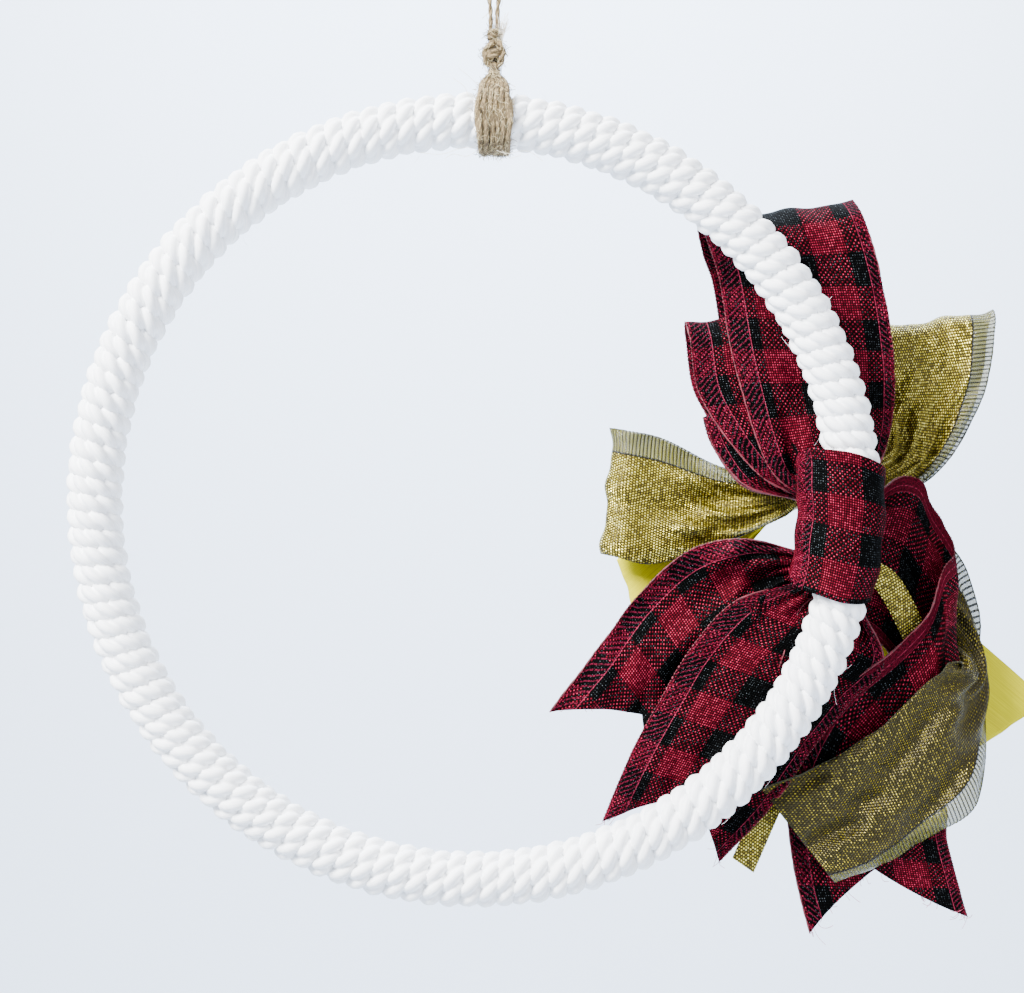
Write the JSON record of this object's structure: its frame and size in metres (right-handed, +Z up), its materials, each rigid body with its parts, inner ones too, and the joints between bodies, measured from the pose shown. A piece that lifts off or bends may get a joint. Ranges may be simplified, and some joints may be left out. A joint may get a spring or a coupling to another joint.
{
  "type": "door wreath",
  "caption": "Ring wound with soft white cord, with a layered bow of plaid, gold and satin ribbon tied to one side, on a jute hanging loop.",
  "frame": {"origin": "where the top of the hanging loop rests on its hook", "axes": "+Z up as it hangs, +X to the right as seen in the picture, +Y away from the viewer, through the ring to the bow's side"},
  "size_m": [0.3827, 0.0746, 0.3721],
  "materials": {
    "white_cord": "soft matt",
    "plaid_cloth": "woven matt",
    "gold_lame": "glittering metallic mesh",
    "yellow_satin": "satin",
    "jute_twine": "rough"
  },
  "bodies": {
    "root": {"ring_cord": "white_cord", "tie_band": "plaid_cloth", "plaid_ribbon_long": "plaid_cloth", "plaid_ribbon_middle": "plaid_cloth", "plaid_ribbon_short": "plaid_cloth", "gold_ribbon_left": "gold_lame", "gold_ribbon_right": "gold_lame", "gold_ribbon_narrow": "gold_lame", "satin_ribbon": "yellow_satin", "hanger_wrap": "jute_twine", "hanger_knot_lower": "jute_twine", "hanger_knot_upper": "jute_twine", "hanger_loop": "jute_twine"}
  },
  "joints": []
}
